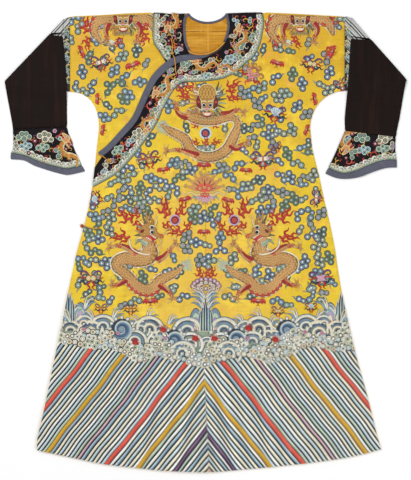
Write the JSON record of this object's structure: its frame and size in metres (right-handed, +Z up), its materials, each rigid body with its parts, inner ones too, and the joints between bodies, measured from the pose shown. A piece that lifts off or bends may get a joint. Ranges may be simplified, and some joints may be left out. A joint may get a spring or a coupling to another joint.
{
  "type": "chinese dragon robe",
  "caption": "Long yellow silk dragon robe laid flat, with a dark embroidered collar and lapel, folded dark sleeves, horse-hoof cuffs and a striped hem.",
  "frame": {"origin": "centre of the flat underside's bounding box, on the surface that the robe lies on", "axes": "+Y from hem to collar, +X to the wearer's left, +Z up out of the front, away from the surface"},
  "size_m": [1.2544, 1.4335, 0.0215],
  "materials": {
    "yellow_silk": "woven silk with satin-stitch embroidery",
    "dark_collar_silk": "dark silk with dense embroidery",
    "grey_binding": "smooth grey-blue silk binding",
    "gold_lining": "plain gold silk lining",
    "striped_band": "silk with slanting embroidered stripes",
    "dark_sleeve": "matte near-black ribbed silk",
    "yellow_cord": "twisted silk cord",
    "button_metal": "red and gold ball button"
  },
  "bodies": {
    "root": {"body_left": "yellow_silk", "body_right": "yellow_silk", "front_overlap": "yellow_silk", "collar_outer": "dark_collar_silk", "collar_inner": "dark_collar_silk", "neck_trim_outer": "grey_binding", "neck_trim_inner": "grey_binding", "back_lining": "gold_lining", "sleeve_band_left": "striped_band", "sleeve_band_right": "striped_band", "sleeve_left": "dark_sleeve", "sleeve_right": "dark_sleeve", "cuff_left": "dark_collar_silk", "cuff_right": "dark_collar_silk", "cuff_trim_left": "grey_binding", "cuff_trim_right": "grey_binding", "neck_cord": "yellow_cord", "neck_loop": "yellow_cord", "neck_knot": "yellow_cord", "underarm_cord": "yellow_cord", "underarm_knot": "yellow_cord", "side_cord": "yellow_cord", "side_button": "button_metal"}
  },
  "joints": []
}
